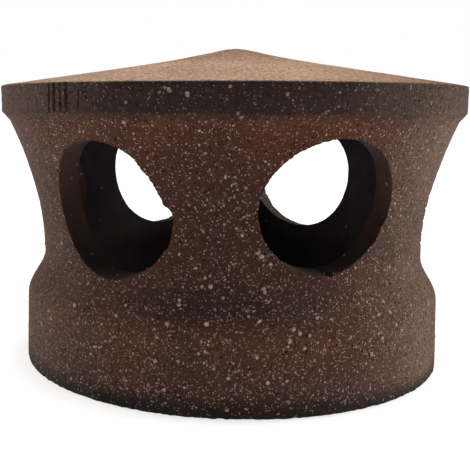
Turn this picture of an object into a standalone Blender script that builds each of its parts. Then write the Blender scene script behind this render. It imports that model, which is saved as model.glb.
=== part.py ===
# Roof vent lantern of speckled stoneware: one fired piece, hollow and open below.
# A straight collar steps in to a neck with six round holes, flares to a rim and
# carries a low cone as its roof. It dried a little out of plumb, towards -X.
# Metres, +Z up, origin on the ground under the middle of the rim.
import math

import bmesh
import bpy

# Collar
foot_radius = 0.0900
collar_radius = 0.0893
collar_height = 0.0285
foot_round = 0.0015

# Shoulder and neck
shoulder_height = 0.0181
neck_radius = 0.0820
flare_radius = 0.0948
flare_power = 1.93
flare_height = 0.0555

# Rim band
rim_radius = 0.0979
rim_height = 0.0099
rim_cove = 0.0036
rim_round = 0.0009

# Roof, with a slightly steeper middle and a rounded peak
roof_rise = 0.0153
peak_rise = 0.0018
peak_radius = 0.0420
peak_round = 0.0060

# How far the body leans and its rim tilts after drying
lean = math.radians(0.97)
rim_tilt = math.radians(1.61)

# Walls
wall_thickness = 0.0109
roof_thickness = 0.0110
ceiling_round = 0.0085

# Vent holes: their centres lie at vent_rise above the narrowest part of the neck
vent_diameter = 0.0510
vent_rise = 0.0250
vent_droop = math.radians(6.6)
cutter_overrun = 0.0120

# They are cut by hand: azimuth of each in degrees from the front (-Y) towards +X,
# then how much higher, wider and taller than meant it came out
vents = {
    "front_left": (-33.2, -0.0013, -0.0006, 0.0003),
    "front_right": (23.6, 0.0025, 0.0023, -0.0010),
    "right": (87.5, -0.0026, 0.0010, -0.0002),
    "back_right": (151.9, 0.0006, 0.0009, -0.0004),
    "back_left": (212.5, 0.0005, 0.0009, -0.0004),
    "left": (270.5, -0.0001, 0.0005, -0.0002),
}

# Fineness of the turned body and of the cutters
turn_steps = 76
vent_steps = 44
round_steps = 3
shoulder_steps = 6
flare_steps = 8
roof_steps = 4

# Heights that follow from the sizes above
neck_height = collar_height + shoulder_height
flare_top = neck_height + flare_height
rim_bottom = flare_top + rim_cove
rim_top = rim_bottom + rim_height
rim_middle = (rim_bottom + rim_top) / 2

# Where the lean leaves the middle of the foot, beside the origin
foot_offset = rim_middle * math.tan(lean)


def outer_radius(height):
    """Radius of the outside between the foot and the top of the flare."""
    if height <= collar_height:
        return foot_radius + (collar_radius - foot_radius) * height / collar_height
    if height < neck_height:
        share = (height - collar_height) / shoulder_height
        ease = (1 + math.cos(math.pi * share)) / 2
        return neck_radius + (collar_radius - neck_radius) * ease
    share = min((height - neck_height) / flare_height, 1)
    return neck_radius + (flare_radius - neck_radius) * share ** flare_power


def roof_height(radius):
    """Height of the roof's upper face."""
    slope = roof_rise * (1 - radius / rim_radius)
    peak = peak_rise * max(1 - radius / peak_radius, 0) ** 2
    steepness = roof_rise / rim_radius + 2 * peak_rise / peak_radius
    blunting = steepness * max(peak_round - radius, 0) ** 2 / (2 * peak_round)
    return rim_top + rim_round + slope + peak - blunting


def settled(x, y, z):
    """Where drying left a point of the true turned form."""
    height = z * (1 + x * math.tan(rim_tilt) / rim_top)
    return x + foot_offset - height * math.tan(lean), y, height


def steps(start, end, count):
    """Evenly spaced values from start to end, both included."""
    return [start + (end - start) * i / count for i in range(count + 1)]


def quarter(centre_radius, centre_height, across, along, first, last):
    """Points (radius, height) of an elliptic arc between two angles."""
    points = []
    for angle in steps(first, last, round_steps):
        turned = math.radians(angle)
        points.append((centre_radius + across * math.cos(turned),
                       centre_height + along * math.sin(turned)))
    return points


def outside():
    """Outline from the foot up the outside to the peak."""
    points = quarter(foot_radius - foot_round, foot_round, foot_round, foot_round, -90, 0)
    points += [(outer_radius(z), z) for z in steps(collar_height, neck_height, shoulder_steps)]
    points += [(outer_radius(z), z) for z in steps(neck_height, flare_top, flare_steps)[1:]]
    points.append((rim_radius, rim_bottom))
    points += quarter(rim_radius - rim_round, rim_top, rim_round, rim_round, 0, 60)
    roof_start = rim_radius - 2 * rim_round
    radii = steps(roof_start, peak_radius, roof_steps)
    radii += steps(peak_radius, peak_round, roof_steps)[1:]
    radii += steps(peak_round, 0, round_steps)[1:]
    points += [(r, roof_height(r)) for r in radii]
    return points


def inside():
    """Outline from the middle of the ceiling down the inside to the foot."""
    wall_top = flare_top - ceiling_round / 2
    wall_radius = outer_radius(wall_top) - wall_thickness
    corner_radius = wall_radius - ceiling_round
    corner_height = roof_height(corner_radius) - roof_thickness
    points = [(r, roof_height(r) - roof_thickness) for r in steps(0, corner_radius, roof_steps)]
    points += quarter(corner_radius, wall_top, ceiling_round, corner_height - wall_top, 90, 0)[1:]
    heights = steps(wall_top, neck_height, flare_steps - 1)[1:]
    heights += steps(neck_height, collar_height, shoulder_steps)[1:]
    points += [(outer_radius(z) - wall_thickness, z) for z in heights]
    bore_radius = foot_radius - wall_thickness
    points += quarter(bore_radius + foot_round, foot_round, foot_round, foot_round, 180, 270)
    return points


def turned_body(name):
    """The whole section turned once around the axis."""
    form = bmesh.new()
    outline = outside() + inside()
    verts = [form.verts.new((r, 0, z)) for r, z in outline]
    edges = [form.edges.new(pair) for pair in zip(verts, verts[1:])]
    edges.append(form.edges.new((verts[-1], verts[0])))
    bmesh.ops.spin(form, geom=verts + edges, cent=(0, 0, 0), axis=(0, 0, 1),
                   angle=2 * math.pi, steps=turn_steps, use_merge=True)
    bmesh.ops.remove_doubles(form, verts=form.verts, dist=1e-6)
    bmesh.ops.dissolve_degenerate(form, dist=1e-7, edges=form.edges)
    bmesh.ops.recalc_face_normals(form, faces=form.faces)
    for vert in form.verts:
        vert.co = settled(*vert.co)
    mesh = bpy.data.meshes.new(name)
    form.to_mesh(mesh)
    form.free()
    body = bpy.data.objects.new(name, mesh)
    bpy.context.collection.objects.link(body)
    return body


def vent_cutter(name, azimuth, higher, wider, taller):
    """An oval bar that runs out through the wall and droops outwards."""
    height = neck_height + vent_rise + higher
    inner = neck_radius - wall_thickness - cutter_overrun
    outer = outer_radius(height) + cutter_overrun
    bpy.ops.mesh.primitive_cylinder_add(vertices=vent_steps, radius=0.5, depth=outer - inner)
    cutter = bpy.context.object
    cutter.name = name
    cutter.scale = (vent_diameter + wider, vent_diameter + taller, 1)
    reach = (inner + outer) / 2
    direction = math.radians(azimuth)
    drop = (reach - outer_radius(height)) * math.tan(vent_droop)
    across = reach * math.sin(direction) + foot_offset
    cutter.location = (across, -reach * math.cos(direction), height - drop)
    cutter.rotation_euler = (math.pi / 2 + vent_droop, 0, direction)
    cutter.hide_render = True
    cutter.display_type = "WIRE"
    return cutter


def fired_clay():
    """Dark brown unglazed stoneware."""
    clay = bpy.data.materials.new("speckled_stoneware")
    clay.use_nodes = True
    shader = clay.node_tree.nodes["Principled BSDF"]
    shader.inputs["Base Color"].default_value = (0.070, 0.034, 0.024, 1)
    shader.inputs["Roughness"].default_value = 0.82
    shader.inputs["Metallic"].default_value = 0
    return clay


for old in list(bpy.data.objects):
    bpy.data.objects.remove(old)

lantern = turned_body("vent_lantern")
lantern.data.materials.append(fired_clay())
for place, sizes in vents.items():
    cut = lantern.modifiers.new("vent_" + place, "BOOLEAN")
    cut.operation = "DIFFERENCE"
    cut.solver = "EXACT"
    cut.object = vent_cutter("cutter_" + place, *sizes)
lantern.data.shade_smooth()
lantern.data.set_sharp_from_angle(angle=math.radians(35))
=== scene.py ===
import math
import random

import bmesh
import bpy
from mathutils import Matrix, Vector, noise


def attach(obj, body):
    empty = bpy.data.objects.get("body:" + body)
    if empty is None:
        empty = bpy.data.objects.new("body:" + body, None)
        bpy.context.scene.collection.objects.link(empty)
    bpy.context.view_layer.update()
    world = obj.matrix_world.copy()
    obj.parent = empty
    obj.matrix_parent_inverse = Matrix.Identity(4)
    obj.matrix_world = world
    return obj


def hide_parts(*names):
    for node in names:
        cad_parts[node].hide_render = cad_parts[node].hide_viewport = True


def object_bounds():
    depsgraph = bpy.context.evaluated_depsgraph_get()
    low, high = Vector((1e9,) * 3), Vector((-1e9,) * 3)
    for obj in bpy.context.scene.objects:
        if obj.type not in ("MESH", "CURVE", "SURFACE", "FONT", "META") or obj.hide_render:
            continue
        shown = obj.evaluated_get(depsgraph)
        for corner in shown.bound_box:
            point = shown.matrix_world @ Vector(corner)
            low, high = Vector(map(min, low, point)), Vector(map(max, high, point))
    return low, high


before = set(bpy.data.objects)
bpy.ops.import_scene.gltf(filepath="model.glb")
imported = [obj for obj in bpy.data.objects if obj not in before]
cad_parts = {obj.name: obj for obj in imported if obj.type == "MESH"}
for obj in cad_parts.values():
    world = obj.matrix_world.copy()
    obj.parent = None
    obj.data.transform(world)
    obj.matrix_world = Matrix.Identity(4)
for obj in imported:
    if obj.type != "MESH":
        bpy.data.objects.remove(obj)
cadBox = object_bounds()
print("frame loaded")

# The turned form, in metres. The rim's radius comes from the frame's box.
lanternSizes = {
    "footRadius": 0.0900,
    "collarRadius": 0.0893,
    "collarHeight": 0.0285,
    "footRound": 0.0015,
    "shoulderHeight": 0.0181,
    "neckRadius": 0.0820,
    "flareRadius": 0.0948,
    "flarePower": 1.93,
    "flareHeight": 0.0555,
    "rimHeight": 0.0099,
    "rimCove": 0.0036,
    "rimRound": 0.0009,
    "roofRise": 0.0153,
    "peakRise": 0.0018,
    "peakRadius": 0.0420,
    "peakRound": 0.0060,
    "wall": 0.0109,
    "roofWall": 0.0110,
    "ceilingRound": 0.0085,
    "lean": 0.97,            # degrees towards -X
    "rimTilt": 1.61,         # degrees, higher towards +X
    "stepsAround": 424,
    "stepLength": 0.0016,    # spacing of the outline's points outside
    "insideStep": 0.0042,
    "ceilingStep": 0.0067,
    "edgeSteps": 4,          # round the foot's and the rim's outer edge
    "ceilingSteps": 6,
    "boreSteps": 3,
    "lumpDepth": 0.00030,
    "lumpSize": 0.030,
    "toothDepth": 0.00016,
    "toothSize": 0.0042,
    "turningDepth": 0.00005,
    "turningSpacing": 0.0026,
    "ringDrift": 14.0,       # radians that the lumps shift the turning rings by
    "footCrumble": 0.0004,
    "crumbsPerMetre": 420.0,
    "crumbleTop": 0.0034,
    "mergeDistance": 0.000004,
    "sharpAngle": 38,        # degrees
    "seed": 4.2,
}

rimRadius = (cadBox[1].y - cadBox[0].y) / 2
neckHeight = lanternSizes["collarHeight"] + lanternSizes["shoulderHeight"]
flareTop = neckHeight + lanternSizes["flareHeight"]
rimBottom = flareTop + lanternSizes["rimCove"]
rimTop = rimBottom + lanternSizes["rimHeight"]
leanSlope = math.tan(math.radians(lanternSizes["lean"]))
tiltSlope = math.tan(math.radians(lanternSizes["rimTilt"])) / rimTop
footOffset = (rimBottom + rimTop) / 2 * leanSlope


def outsideRadius(height):
    s = lanternSizes
    if height <= s["collarHeight"]:
        share = max(height, 0) / s["collarHeight"]
        return s["footRadius"] + (s["collarRadius"] - s["footRadius"]) * share
    if height < neckHeight:
        share = (height - s["collarHeight"]) / s["shoulderHeight"]
        swing = 1 + math.cos(math.pi * share)
        return s["neckRadius"] + (s["collarRadius"] - s["neckRadius"]) * swing / 2
    if height < flareTop:
        share = (height - neckHeight) / s["flareHeight"]
        return s["neckRadius"] + (s["flareRadius"] - s["neckRadius"]) * share ** s["flarePower"]
    share = min((height - flareTop) / s["rimCove"], 1)
    return s["flareRadius"] + (rimRadius - s["flareRadius"]) * share


def roofHeight(radius):
    s = lanternSizes
    peak = s["peakRise"] * max(1 - radius / s["peakRadius"], 0) ** 2
    steepness = s["roofRise"] / rimRadius + 2 * s["peakRise"] / s["peakRadius"]
    blunting = steepness * max(s["peakRound"] - radius, 0) ** 2 / (2 * s["peakRound"])
    return rimTop + s["rimRound"] + s["roofRise"] * (1 - radius / rimRadius) + peak - blunting


# Where a point of the true turned form lies once the ware has dried
def settled(x, y, z):
    height = z * (1 + x * tiltSlope)
    return Vector((x + footOffset - height * leanSlope, y, height))


# How far a point lies inside the outer face of the wall
def depthInClay(point):
    height = point.z / (1 + point.x * tiltSlope)
    middle = footOffset - point.z * leanSlope
    return outsideRadius(height) - math.hypot(point.x - middle, point.y)


def spaced(start, end, step):
    count = max(round(abs(end - start) / step), 1)
    return [start + (end - start) * i / count for i in range(count + 1)]


def arc(centre, across, along, first, last, count):
    turns = [math.radians(first + (last - first) * i / count) for i in range(count + 1)]
    return [(centre[0] + across * math.cos(t), centre[1] + along * math.sin(t)) for t in turns]


# Radius and height of the outside, then of the inside
def lanternOutline():
    s = lanternSizes
    foot, rim, step = s["footRound"], s["rimRound"], s["stepLength"]
    outside = arc((s["footRadius"] - foot, foot), foot, foot, -90, 0, s["edgeSteps"])
    outside += [(outsideRadius(z), z) for z in spaced(foot, flareTop, step)[1:]]
    outside += [(outsideRadius(z), z) for z in spaced(flareTop, rimBottom, step / 2)[1:]]
    outside += [(rimRadius, z) for z in spaced(rimBottom, rimTop, step)[1:-1]]
    outside += arc((rimRadius - rim, rimTop), rim, rim, 0, 60, s["edgeSteps"])
    outside += [(r, roofHeight(r)) for r in spaced(rimRadius - 2 * rim, 0, step)]
    wallTop = flareTop - s["ceilingRound"] / 2
    corner = outsideRadius(wallTop) - s["wall"] - s["ceilingRound"]
    rise = roofHeight(corner) - s["roofWall"] - wallTop
    inside = [(r, roofHeight(r) - s["roofWall"]) for r in spaced(0, corner, s["ceilingStep"])]
    inside += arc((corner, wallTop), s["ceilingRound"], rise, 90, 0, s["ceilingSteps"])[1:]
    heights = spaced(wallTop, foot, s["insideStep"])[1:-1]
    inside += [(outsideRadius(z) - s["wall"], z) for z in heights]
    inside += arc((s["footRadius"] - s["wall"] + foot, foot), foot, foot, 180, 270, s["boreSteps"])
    return outside, inside


# Small helpers for node trees
def put(tree, kind, wires=None, **settings):
    node = tree.nodes.new(kind)
    for setting, value in settings.items():
        setattr(node, setting, value)
    for socket, value in (wires or {}).items():
        if isinstance(value, bpy.types.NodeSocket):
            tree.links.new(value, node.inputs[socket])
        else:
            node.inputs[socket].default_value = value
    return node


def reckon(tree, operation, *values, clamp=False):
    wires = dict(enumerate(values))
    return put(tree, "ShaderNodeMath", wires, operation=operation, use_clamp=clamp).outputs[0]


def times(tree, first, second):
    return reckon(tree, "MULTIPLY", first, second)


def plus(tree, first, second):
    return reckon(tree, "ADD", first, second)


def bend(tree, operation, *values):
    return put(tree, "ShaderNodeVectorMath", dict(enumerate(values)), operation=operation).outputs[0]


def ease(tree, value, start, end, low=0.0, high=1.0, curve="SMOOTHSTEP"):
    wires = {"Value": value, "From Min": start, "From Max": end, "To Min": low, "To Max": high}
    return put(tree, "ShaderNodeMapRange", wires, interpolation_type=curve).outputs[0]


# A value from 0 to 1 spread evenly over a new range
def stretch(tree, value, low, high):
    return ease(tree, value, 0.0, 1.0, low, high, "LINEAR")


def mixTones(tree, share, toneA, toneB, how="MIX"):
    wires = {0: share, 6: toneA, 7: toneB}
    return put(tree, "ShaderNodeMix", wires, data_type="RGBA", blend_type=how).outputs[2]


def newTree(name, kind, inputs, outputs):
    tree = bpy.data.node_groups.new(name, kind)
    for label, (socketType, value) in inputs.items():
        socket = tree.interface.new_socket(label, in_out="INPUT", socket_type="NodeSocket" + socketType)
        if value is not None:
            socket.default_value = value
    for label, socketType in outputs.items():
        tree.interface.new_socket(label, in_out="OUTPUT", socket_type="NodeSocket" + socketType)
    given = tree.nodes.new("NodeGroupInput").outputs
    return tree, given, tree.nodes.new("NodeGroupOutput").inputs


# Shader groups that several finishes share.
# Flecks: Share picks cells of a bent pattern, and each picked cell holds one grain or pit.
def makeFlecks():
    tree, given, result = newTree("flecks", "ShaderNodeTree", {
        "Place": ("Vector", None),
        "Size": ("Float", 0.001),
        "Share": ("Float", 0.3),
        "Largest": ("Float", 0.4),
        "Edge": ("Float", 0.08),
        "Shift": ("Float", 0.0),
    }, {"Mask": "Float", "Tone": "Float"})
    scale = reckon(tree, "DIVIDE", 1.0, given["Size"])
    moved = bend(tree, "ADD", given["Place"], given["Shift"])
    ripple = put(tree, "ShaderNodeTexNoise", {"Vector": moved, "Scale": scale, "Detail": 2.0})
    centred = bend(tree, "SUBTRACT", ripple.outputs["Color"], (0.5, 0.5, 0.5))
    bent = bend(tree, "ADD", moved, bend(tree, "MULTIPLY", centred, given["Size"]))
    cells = put(tree, "ShaderNodeTexVoronoi", {"Vector": bent, "Scale": scale})
    pick = put(tree, "ShaderNodeSeparateColor", {0: cells.outputs["Color"]})
    unpicked = reckon(tree, "SUBTRACT", 1.0, given["Share"])
    above = reckon(tree, "SUBTRACT", pick.outputs[0], unpicked)
    grown = reckon(tree, "DIVIDE", above, given["Share"], clamp=True)
    radius = times(tree, given["Largest"], reckon(tree, "POWER", grown, 0.6))
    inner = reckon(tree, "SUBTRACT", radius, given["Edge"])
    mask = ease(tree, cells.outputs["Distance"], radius, inner)
    shown = times(tree, mask, reckon(tree, "GREATER_THAN", above, 0.0))
    tree.links.new(shown, result["Mask"])
    tree.links.new(pick.outputs[1], result["Tone"])
    return tree


def makeSandTooth():
    tree, given, result = newTree("sandTooth", "ShaderNodeTree", {
        "Place": ("Vector", None),
        "Grain": ("Float", 0.0006),
        "Roughness": ("Float", 0.6),
    }, {"Height": "Float"})
    scale = reckon(tree, "DIVIDE", 1.0, given["Grain"])
    fine = put(tree, "ShaderNodeTexNoise", {
        "Vector": given["Place"], "Scale": scale, "Detail": 3.0, "Roughness": given["Roughness"]})
    coarse = put(tree, "ShaderNodeTexNoise", {
        "Vector": given["Place"], "Scale": times(tree, scale, 0.22), "Detail": 2.0})
    height = plus(tree, times(tree, fine.outputs["Fac"], 0.6), times(tree, coarse.outputs["Fac"], 0.8))
    tree.links.new(height, result["Height"])
    return tree


def makeKilnTone():
    tree, given, result = newTree("kilnTone", "ShaderNodeTree", {
        "Place": ("Vector", None),
        "Patch": ("Float", 0.04),
        "Contrast": ("Float", 0.25),
        "Shift": ("Float", 0.0),
    }, {"Share": "Float"})
    moved = bend(tree, "ADD", given["Place"], given["Shift"])
    scale = reckon(tree, "DIVIDE", 1.0, given["Patch"])
    cloud = put(tree, "ShaderNodeTexNoise", {
        "Vector": moved, "Scale": scale, "Detail": 3.0, "Roughness": 0.55})
    low = reckon(tree, "SUBTRACT", 0.5, given["Contrast"])
    high = plus(tree, 0.5, given["Contrast"])
    tree.links.new(ease(tree, cloud.outputs["Fac"], low, high), result["Share"])
    return tree


# Where the zones of the face begin and end, in metres to the side of the middle
zones = {
    "flank": (0.036, 0.080),
    "right": (0.020, 0.095),
    "middle": (0.048, 0.022),
    "sideChange": 0.05,
    "leftShare": 0.72,       # how strong the left flank's dust and painted side light are beside the right one
}


def makeTurnedPlace():
    tree, given, result = newTree("turnedPlace", "ShaderNodeTree", {
        "Place": ("Vector", None),
        "Tilt": ("Float", 0.0),
    }, {"Height": "Float", "Radius": "Float", "Flank": "Float", "Right": "Float", "Middle": "Float"})
    parts = put(tree, "ShaderNodeSeparateXYZ", {0: given["Place"]}).outputs
    lift = reckon(tree, "MULTIPLY_ADD", parts[0], given["Tilt"], 1.0)
    tree.links.new(reckon(tree, "DIVIDE", parts[2], lift), result["Height"])
    flat = put(tree, "ShaderNodeCombineXYZ", {0: parts[0], 1: parts[1]}).outputs[0]
    reach = put(tree, "ShaderNodeVectorMath", {0: flat}, operation="LENGTH").outputs["Value"]
    tree.links.new(reach, result["Radius"])
    aside = reckon(tree, "ABSOLUTE", parts[0])
    uneven = ease(tree, parts[0], -zones["sideChange"], zones["sideChange"], zones["leftShare"], 1.0)
    tree.links.new(times(tree, ease(tree, aside, *zones["flank"]), uneven), result["Flank"])
    tree.links.new(ease(tree, parts[0], *zones["right"]), result["Right"])
    tree.links.new(ease(tree, aside, *zones["middle"]), result["Middle"])
    return tree


flecks = makeFlecks()
sandTooth = makeSandTooth()
kilnTone = makeKilnTone()
turnedPlace = makeTurnedPlace()

# Size of the patches, contrast and a shift into the pattern, for each cloud of tone
cloudKinds = {
    "wobble": {"Patch": 0.012, "Contrast": 0.40, "Shift": 3.0},
    "kiln": {"Patch": 0.030, "Contrast": 0.18, "Shift": 0.7},
    "mottle": {"Patch": 0.0016, "Contrast": 0.30, "Shift": 1.3},
    "roof": {"Patch": 0.022, "Contrast": 0.22, "Shift": 5.1},
    "sand": {"Patch": 0.0012, "Contrast": 0.16, "Shift": 2.2},
    "inside": {"Patch": 0.010, "Contrast": 0.25, "Shift": 4.4},
    "grain": {"Patch": 0.0030, "Contrast": 0.20, "Shift": 6.0},
    "floor": {"Patch": 0.3, "Contrast": 0.40, "Shift": 0.0},
}

# Size of a cell in metres, then the largest grain and its soft edge as shares of it
fleckKinds = {
    "fine": {"Size": 0.00066, "Largest": 0.58, "Edge": 0.18},
    "middling": {"Size": 0.00110, "Largest": 0.46, "Edge": 0.10, "Shift": 0.31},
    "coarse": {"Size": 0.0024, "Largest": 0.34, "Edge": 0.05, "Shift": 0.77},
    "pits": {"Size": 0.0014, "Largest": 0.42, "Edge": 0.12, "Shift": 1.9},
    "pores": {"Size": 0.00085, "Largest": 0.50, "Edge": 0.20, "Shift": 3.3},
    "cutGrog": {"Size": 0.0028, "Largest": 0.26, "Edge": 0.07, "Shift": 2.6},
    "dirt": {"Size": 0.0007, "Largest": 0.40, "Edge": 0.20, "Shift": 0.2},
}


def useGroup(tree, group, wires):
    node = tree.nodes.new("ShaderNodeGroup")
    node.node_tree = group
    for socket, value in wires.items():
        if isinstance(value, bpy.types.NodeSocket):
            tree.links.new(value, node.inputs[socket])
        else:
            node.inputs[socket].default_value = value
    return node.outputs


def clouded(tree, place, kind):
    return useGroup(tree, kilnTone, {"Place": place, **cloudKinds[kind]})["Share"]


def flecked(tree, place, kind, share):
    return useGroup(tree, flecks, {"Place": place, "Share": share, **fleckKinds[kind]})


def roughened(tree, shader, height, distance, strength):
    bump = put(tree, "ShaderNodeBump", {"Height": height, "Distance": distance, "Strength": strength})
    tree.links.new(bump.outputs[0], shader.inputs["Normal"])


def newFinish(name, roughness, specular):
    finish = bpy.data.materials.new(name)
    finish.use_nodes = True
    tree = finish.node_tree
    shader = tree.nodes["Principled BSDF"]
    shader.inputs["Roughness"].default_value = roughness
    shader.inputs["Specular IOR Level"].default_value = specular
    shader.inputs["Metallic"].default_value = 0
    place = put(tree, "ShaderNodeTexCoord").outputs["Object"]
    return finish, tree, shader, place


# Fired clay outside: tones by height, from the foot (0) to above the rim (1)
clayLooks = {
    "tones": [
        (0.000, (0.006, 0.004, 0.004)), (0.038, (0.012, 0.007, 0.005)), (0.085, (0.056, 0.022, 0.014)),
        (0.270, (0.068, 0.025, 0.014)), (0.345, (0.051, 0.020, 0.012)), (0.420, (0.047, 0.018, 0.011)),
        (0.620, (0.042, 0.016, 0.010)), (0.800, (0.058, 0.019, 0.010)), (0.890, (0.072, 0.023, 0.011)),
        (0.917, (0.026, 0.014, 0.011)), (0.985, (0.022, 0.013, 0.011)), (1.000, (0.010, 0.006, 0.005)),
    ],
    "toneWobble": 0.0022,    # how far the edges between two tones wander, in metres
    "cloud": (0.024, 0.012, 0.010),
    "cloudShare": 0.40,
    # a darker tone painted on the shoulder between the front vents
    "shoulderDark": (0.034, 0.018, 0.018),
    "shoulderDarkShare": 0.75,
    "shoulderDarkFrom": (0.034, 0.039),
    "shoulderDarkTo": (0.048, 0.042),
    # tones of the flanks' ash dust with painted side light and sheen; the first is for the right flank
    "dustAndSheen": (0.120, 0.082, 0.057),
    "dustAndSheenWarm": (0.090, 0.050, 0.037),
    "mottle": (0.72, 1.28),
    # pale tan of the roof, partly painted top light and sheen
    "roof": (0.310, 0.205, 0.140),
    "roofDark": (0.130, 0.072, 0.042),
    "roofShade": {"peak": 0.50, "patches": 0.28, "right": 0.80},
    "roofSand": (0.52, 1.42),
    "cream": (0.350, 0.255, 0.225),
    "creamWarm": (0.290, 0.185, 0.145),
    "grog": {"fine": 0.50, "middling": 0.32, "coarse": 0.12},
    "coarseShown": 0.85,
    # near-black painted shade inside the pits and pores
    "pitShade": (0.004, 0.002, 0.002),
    "poreShown": 0.75,
    "roughness": 0.80,
    "specular": 0.14,
    "toothGrain": 0.00075,
    "toothHeight": 0.00045,
    "flankTooth": 2.2,       # how much rougher the flanks are
}


def makeOuterClay():
    look = clayLooks
    finish, tree, shader, place = newFinish("outerClay", look["roughness"], look["specular"])
    turned = useGroup(tree, turnedPlace, {"Place": place, "Tilt": tiltSlope})
    height, flank, right = turned["Height"], turned["Flank"], turned["Right"]
    wobble = clouded(tree, place, "wobble")
    uneven = reckon(tree, "MULTIPLY_ADD", wobble, look["toneWobble"], height)
    level = reckon(tree, "SUBTRACT", uneven, look["toneWobble"] / 2)
    share = reckon(tree, "DIVIDE", level, rimTop + lanternSizes["rimRound"] * 0.4)
    ramp = put(tree, "ShaderNodeValToRGB", {"Fac": share})
    stops = ramp.color_ramp.elements
    while len(stops) < len(look["tones"]):
        stops.new(0.5)
    for stop, (position, tone) in zip(stops, look["tones"]):
        stop.position = position
        stop.color = (*tone, 1)
    cloud = clouded(tree, place, "kiln")
    body = mixTones(tree, times(tree, cloud, look["cloudShare"]), ramp.outputs["Color"], (*look["cloud"], 1))
    # the shoulder between the front vents is painted darker, and both flanks paler and greyer: ash dust
    # together with painted side light and sheen
    onShoulder = times(tree, ease(tree, uneven, *look["shoulderDarkFrom"]), ease(tree, uneven, *look["shoulderDarkTo"]))
    shoulderDark = times(tree, times(tree, onShoulder, turned["Middle"]), look["shoulderDarkShare"])
    body = mixTones(tree, shoulderDark, body, (*look["shoulderDark"], 1))
    # painted side light and sheen with ash dust: the flanks are painted paler, most on the right
    sheenAndAsh = times(tree, flank, stretch(tree, cloud, 0.80, 0.35))
    aboveFoot = ease(tree, uneven, 0.001, 0.010)
    atBand = ease(tree, right, 0.0, 0.6, 1.15, 0.45)
    underBand = ease(tree, uneven, rimTop, rimBottom - 0.006, atBand, 1.0)
    sheenAndAsh = times(tree, sheenAndAsh, times(tree, aboveFoot, underBand))
    sheenAndAshTone = mixTones(tree, right, (*look["dustAndSheenWarm"], 1), (*look["dustAndSheen"], 1))
    body = mixTones(tree, sheenAndAsh, body, sheenAndAshTone)
    mottle = stretch(tree, clouded(tree, place, "mottle"), *look["mottle"])
    body = mixTones(tree, 1.0, body, mottle, "MULTIPLY")
    # the roof is painted a pale tan, partly a sandier clay and partly painted top light and sheen; it is
    # darker round the peak and to the right
    shade = look["roofShade"]
    nearPeak = times(tree, ease(tree, turned["Radius"], 0.055, 0.008), shade["peak"])
    darker = plus(tree, nearPeak, times(tree, clouded(tree, place, "roof"), shade["patches"]))
    darker = reckon(tree, "MULTIPLY_ADD", right, shade["right"], darker, clamp=True)
    roof = mixTones(tree, darker, (*look["roof"], 1), (*look["roofDark"], 1))
    sandy = stretch(tree, clouded(tree, place, "sand"), *look["roofSand"])
    roof = mixTones(tree, 1.0, roof, sandy, "MULTIPLY")
    onRoof = ease(tree, height, rimTop + 0.0004, rimTop + 0.0010)
    body = mixTones(tree, onRoof, body, roof)
    # cream grog in three sizes, thicker low down, thin at the very foot and on the band
    low = ease(tree, height, 0.075, 0.020, 0.80, 1.10)
    onBand = ease(tree, height, flareTop, rimBottom, 1.0, 0.66)
    low = times(tree, low, times(tree, onBand, ease(tree, uneven, 0.001, 0.010, 0.18, 1.0)))
    sparse = times(tree, low, stretch(tree, flank, 1.0, 0.60))
    grog = look["grog"]
    fine = flecked(tree, place, "fine", times(tree, low, grog["fine"]))
    middling = flecked(tree, place, "middling", times(tree, sparse, grog["middling"]))
    coarse = flecked(tree, place, "coarse", times(tree, sparse, grog["coarse"]))
    fineShown = times(tree, fine["Mask"], stretch(tree, fine["Tone"], 0.35, 1.0))
    middlingShown = times(tree, middling["Mask"], stretch(tree, middling["Tone"], 0.45, 1.0))
    grains = reckon(tree, "MAXIMUM", middlingShown, times(tree, coarse["Mask"], look["coarseShown"]))
    grains = reckon(tree, "MAXIMUM", fineShown, grains)
    faded = times(tree, stretch(tree, flank, 1.0, 1.15), ease(tree, height, flareTop, rimBottom, 1.0, 0.55))
    cream = mixTones(tree, coarse["Tone"], (*look["cream"], 1), (*look["creamWarm"], 1))
    body = mixTones(tree, times(tree, grains, faded), body, cream)
    # small pits and pores where grains fell out, most of them at the foot and on the flanks; their
    # near-black is painted shade
    nearFoot = ease(tree, uneven, 0.0085, 0.0015)
    pitted = reckon(tree, "MULTIPLY_ADD", flank, 0.25, 0.25)
    pits = flecked(tree, place, "pits", reckon(tree, "MULTIPLY_ADD", nearFoot, 0.45, pitted))
    pores = flecked(tree, place, "pores", stretch(tree, flank, 0.14, 0.60))
    hollows = reckon(tree, "MAXIMUM", pits["Mask"], times(tree, pores["Mask"], look["poreShown"]))
    deepest = ease(tree, height, rimTop - 0.0002, rimTop + 0.0010, 0.90, 0.34)
    body = mixTones(tree, times(tree, hollows, deepest), body, (*look["pitShade"], 1))
    tree.links.new(body, shader.inputs["Base Color"])
    tooth = useGroup(tree, sandTooth, {"Place": place, "Grain": look["toothGrain"], "Roughness": 0.65})
    relief = plus(tree, tooth["Height"], times(tree, grains, 0.30))
    relief = reckon(tree, "SUBTRACT", relief, times(tree, hollows, 1.2))
    relief = times(tree, relief, reckon(tree, "MULTIPLY_ADD", flank, look["flankTooth"], 1.0))
    roughened(tree, shader, relief, look["toothHeight"], 0.9)
    return finish


# Clay of the cut vent walls and of the inside: the same body, never brushed or dusted
innerLooks = {
    "cutClay": {
        "tone": (0.054, 0.020, 0.014),
        "dark": (0.026, 0.013, 0.011),
        "grog": 0.34,
        "tooth": 0.00045,
    },
    "innerClay": {
        "tone": (0.062, 0.043, 0.060),
        "dark": (0.036, 0.024, 0.036),
        "grog": 0.03,
        "tooth": 0.00020,
    },
    "roughness": 0.85,
    "specular": 0.35,
    "toothGrain": 0.0011,
    "depthShadeTop": 0.086,        # painted shade, deepening from here down to the lower height below
    "depthShadeBottom": 0.048,
    "depthShade": 0.35,
}


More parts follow.
